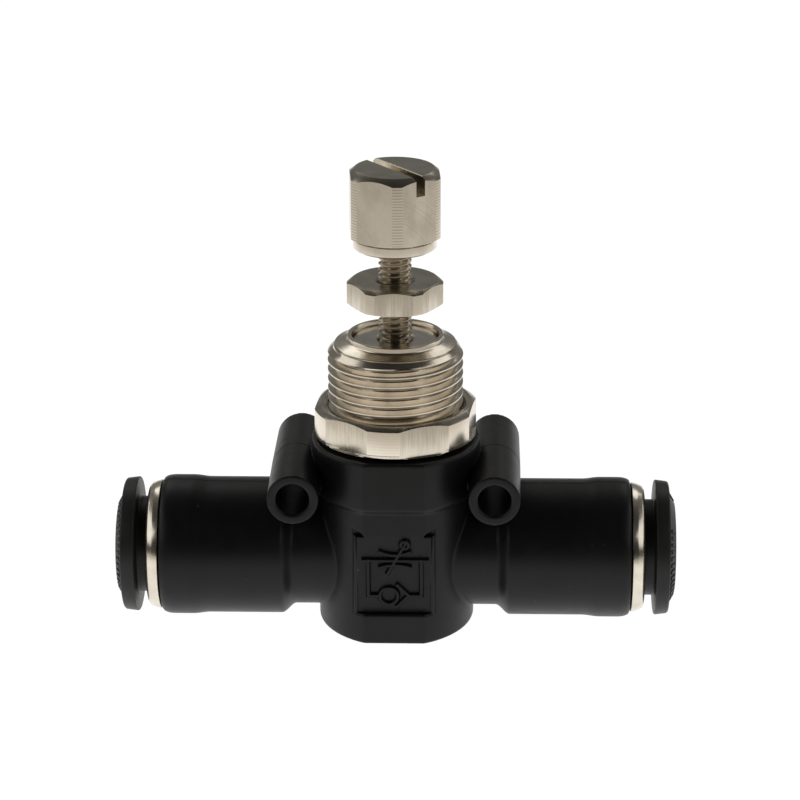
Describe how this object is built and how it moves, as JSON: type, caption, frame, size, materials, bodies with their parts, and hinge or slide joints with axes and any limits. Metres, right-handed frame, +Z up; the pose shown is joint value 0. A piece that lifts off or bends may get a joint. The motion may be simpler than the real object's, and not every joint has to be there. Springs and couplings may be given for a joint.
{
  "type": "flow control valve",
  "caption": "In-line pneumatic flow control valve: push-in tube ports, slotted hexagon knob and lock nut on a threaded needle stem, panel-mount thread with nut, cross-drilled bosses.",
  "frame": {"origin": "middle of the barrel's bottom face, below the stem axis, midway between the ports and midway between the boss faces", "axes": "+X along the port axis to the right-hand port with the symbol pocket facing the viewer, +Z up along the stem to the knob, and -Y out of the symbol pocket"},
  "size_m": [0.058, 0.0182, 0.0485],
  "materials": {
    "body_plastic": "satin black glass-filled moulding",
    "sleeve_plastic": "lightly spark-eroded black moulding",
    "nickel_plate": "nickel plate over turned and milled brass",
    "bare_brass": "turned",
    "spring_steel": "stamped strip",
    "seal_rubber": "moulded nitrile",
    "light_plastic": "natural acetal"
  },
  "bodies": {
    "valve_body": {"body": "body_plastic", "bonnet": "nickel_plate", "needle_guide": "nickel_plate", "bonnet_o_ring": "seal_rubber", "valve_seat_sleeve": "bare_brass", "check_lip_seal": "seal_rubber", "end_ring_left": "nickel_plate", "end_ring_right": "nickel_plate", "grip_ring_left": "spring_steel", "grip_ring_right": "spring_steel", "grip_backup_ring_left": "light_plastic", "grip_backup_ring_right": "light_plastic", "tube_seal_left": "seal_rubber", "tube_seal_right": "seal_rubber"},
    "stem_lift": {"stem_o_ring": "seal_rubber"},
    "needle": {"needle_stem": "nickel_plate", "adjusting_knob": "nickel_plate"},
    "lock_nut": {"lock_nut": "nickel_plate"},
    "panel_nut": {"panel_nut": "nickel_plate"},
    "sleeve_left": {"release_sleeve_left": "sleeve_plastic"},
    "sleeve_right": {"release_sleeve_right": "sleeve_plastic"}
  },
  "joints": [
    {"name": "needle_travel", "type": "slide", "parent": "valve_body", "child": "stem_lift", "axis": [0, 0, 1], "range_m": [-0.003, 0.0006]},
    {"name": "knob_turn", "type": "hinge", "parent": "stem_lift", "child": "needle", "pos_m": [0, 0, 0.0075], "axis": [0, 0, 1], "range_deg": [-1801, 361]},
    {"name": "lock_nut_travel", "type": "slide", "parent": "valve_body", "child": "lock_nut", "axis": [0, 0, 1], "range_m": [-0.0032, 0.0002]},
    {"name": "panel_nut_travel", "type": "slide", "parent": "valve_body", "child": "panel_nut", "axis": [0, 0, 1], "range_m": [0, 0.005]},
    {"name": "release_left", "type": "slide", "parent": "valve_body", "child": "sleeve_left", "axis": [1, 0, 0], "range_m": [0, 0.001], "stiffness_N_per_m": 4000},
    {"name": "release_right", "type": "slide", "parent": "valve_body", "child": "sleeve_right", "axis": [-1, 0, 0], "range_m": [0, 0.001], "stiffness_N_per_m": 4000}
  ],
  "couplings": [
    {"joint": "knob_turn", "follows": "needle_travel", "rad_per_m": 10472}
  ]
}
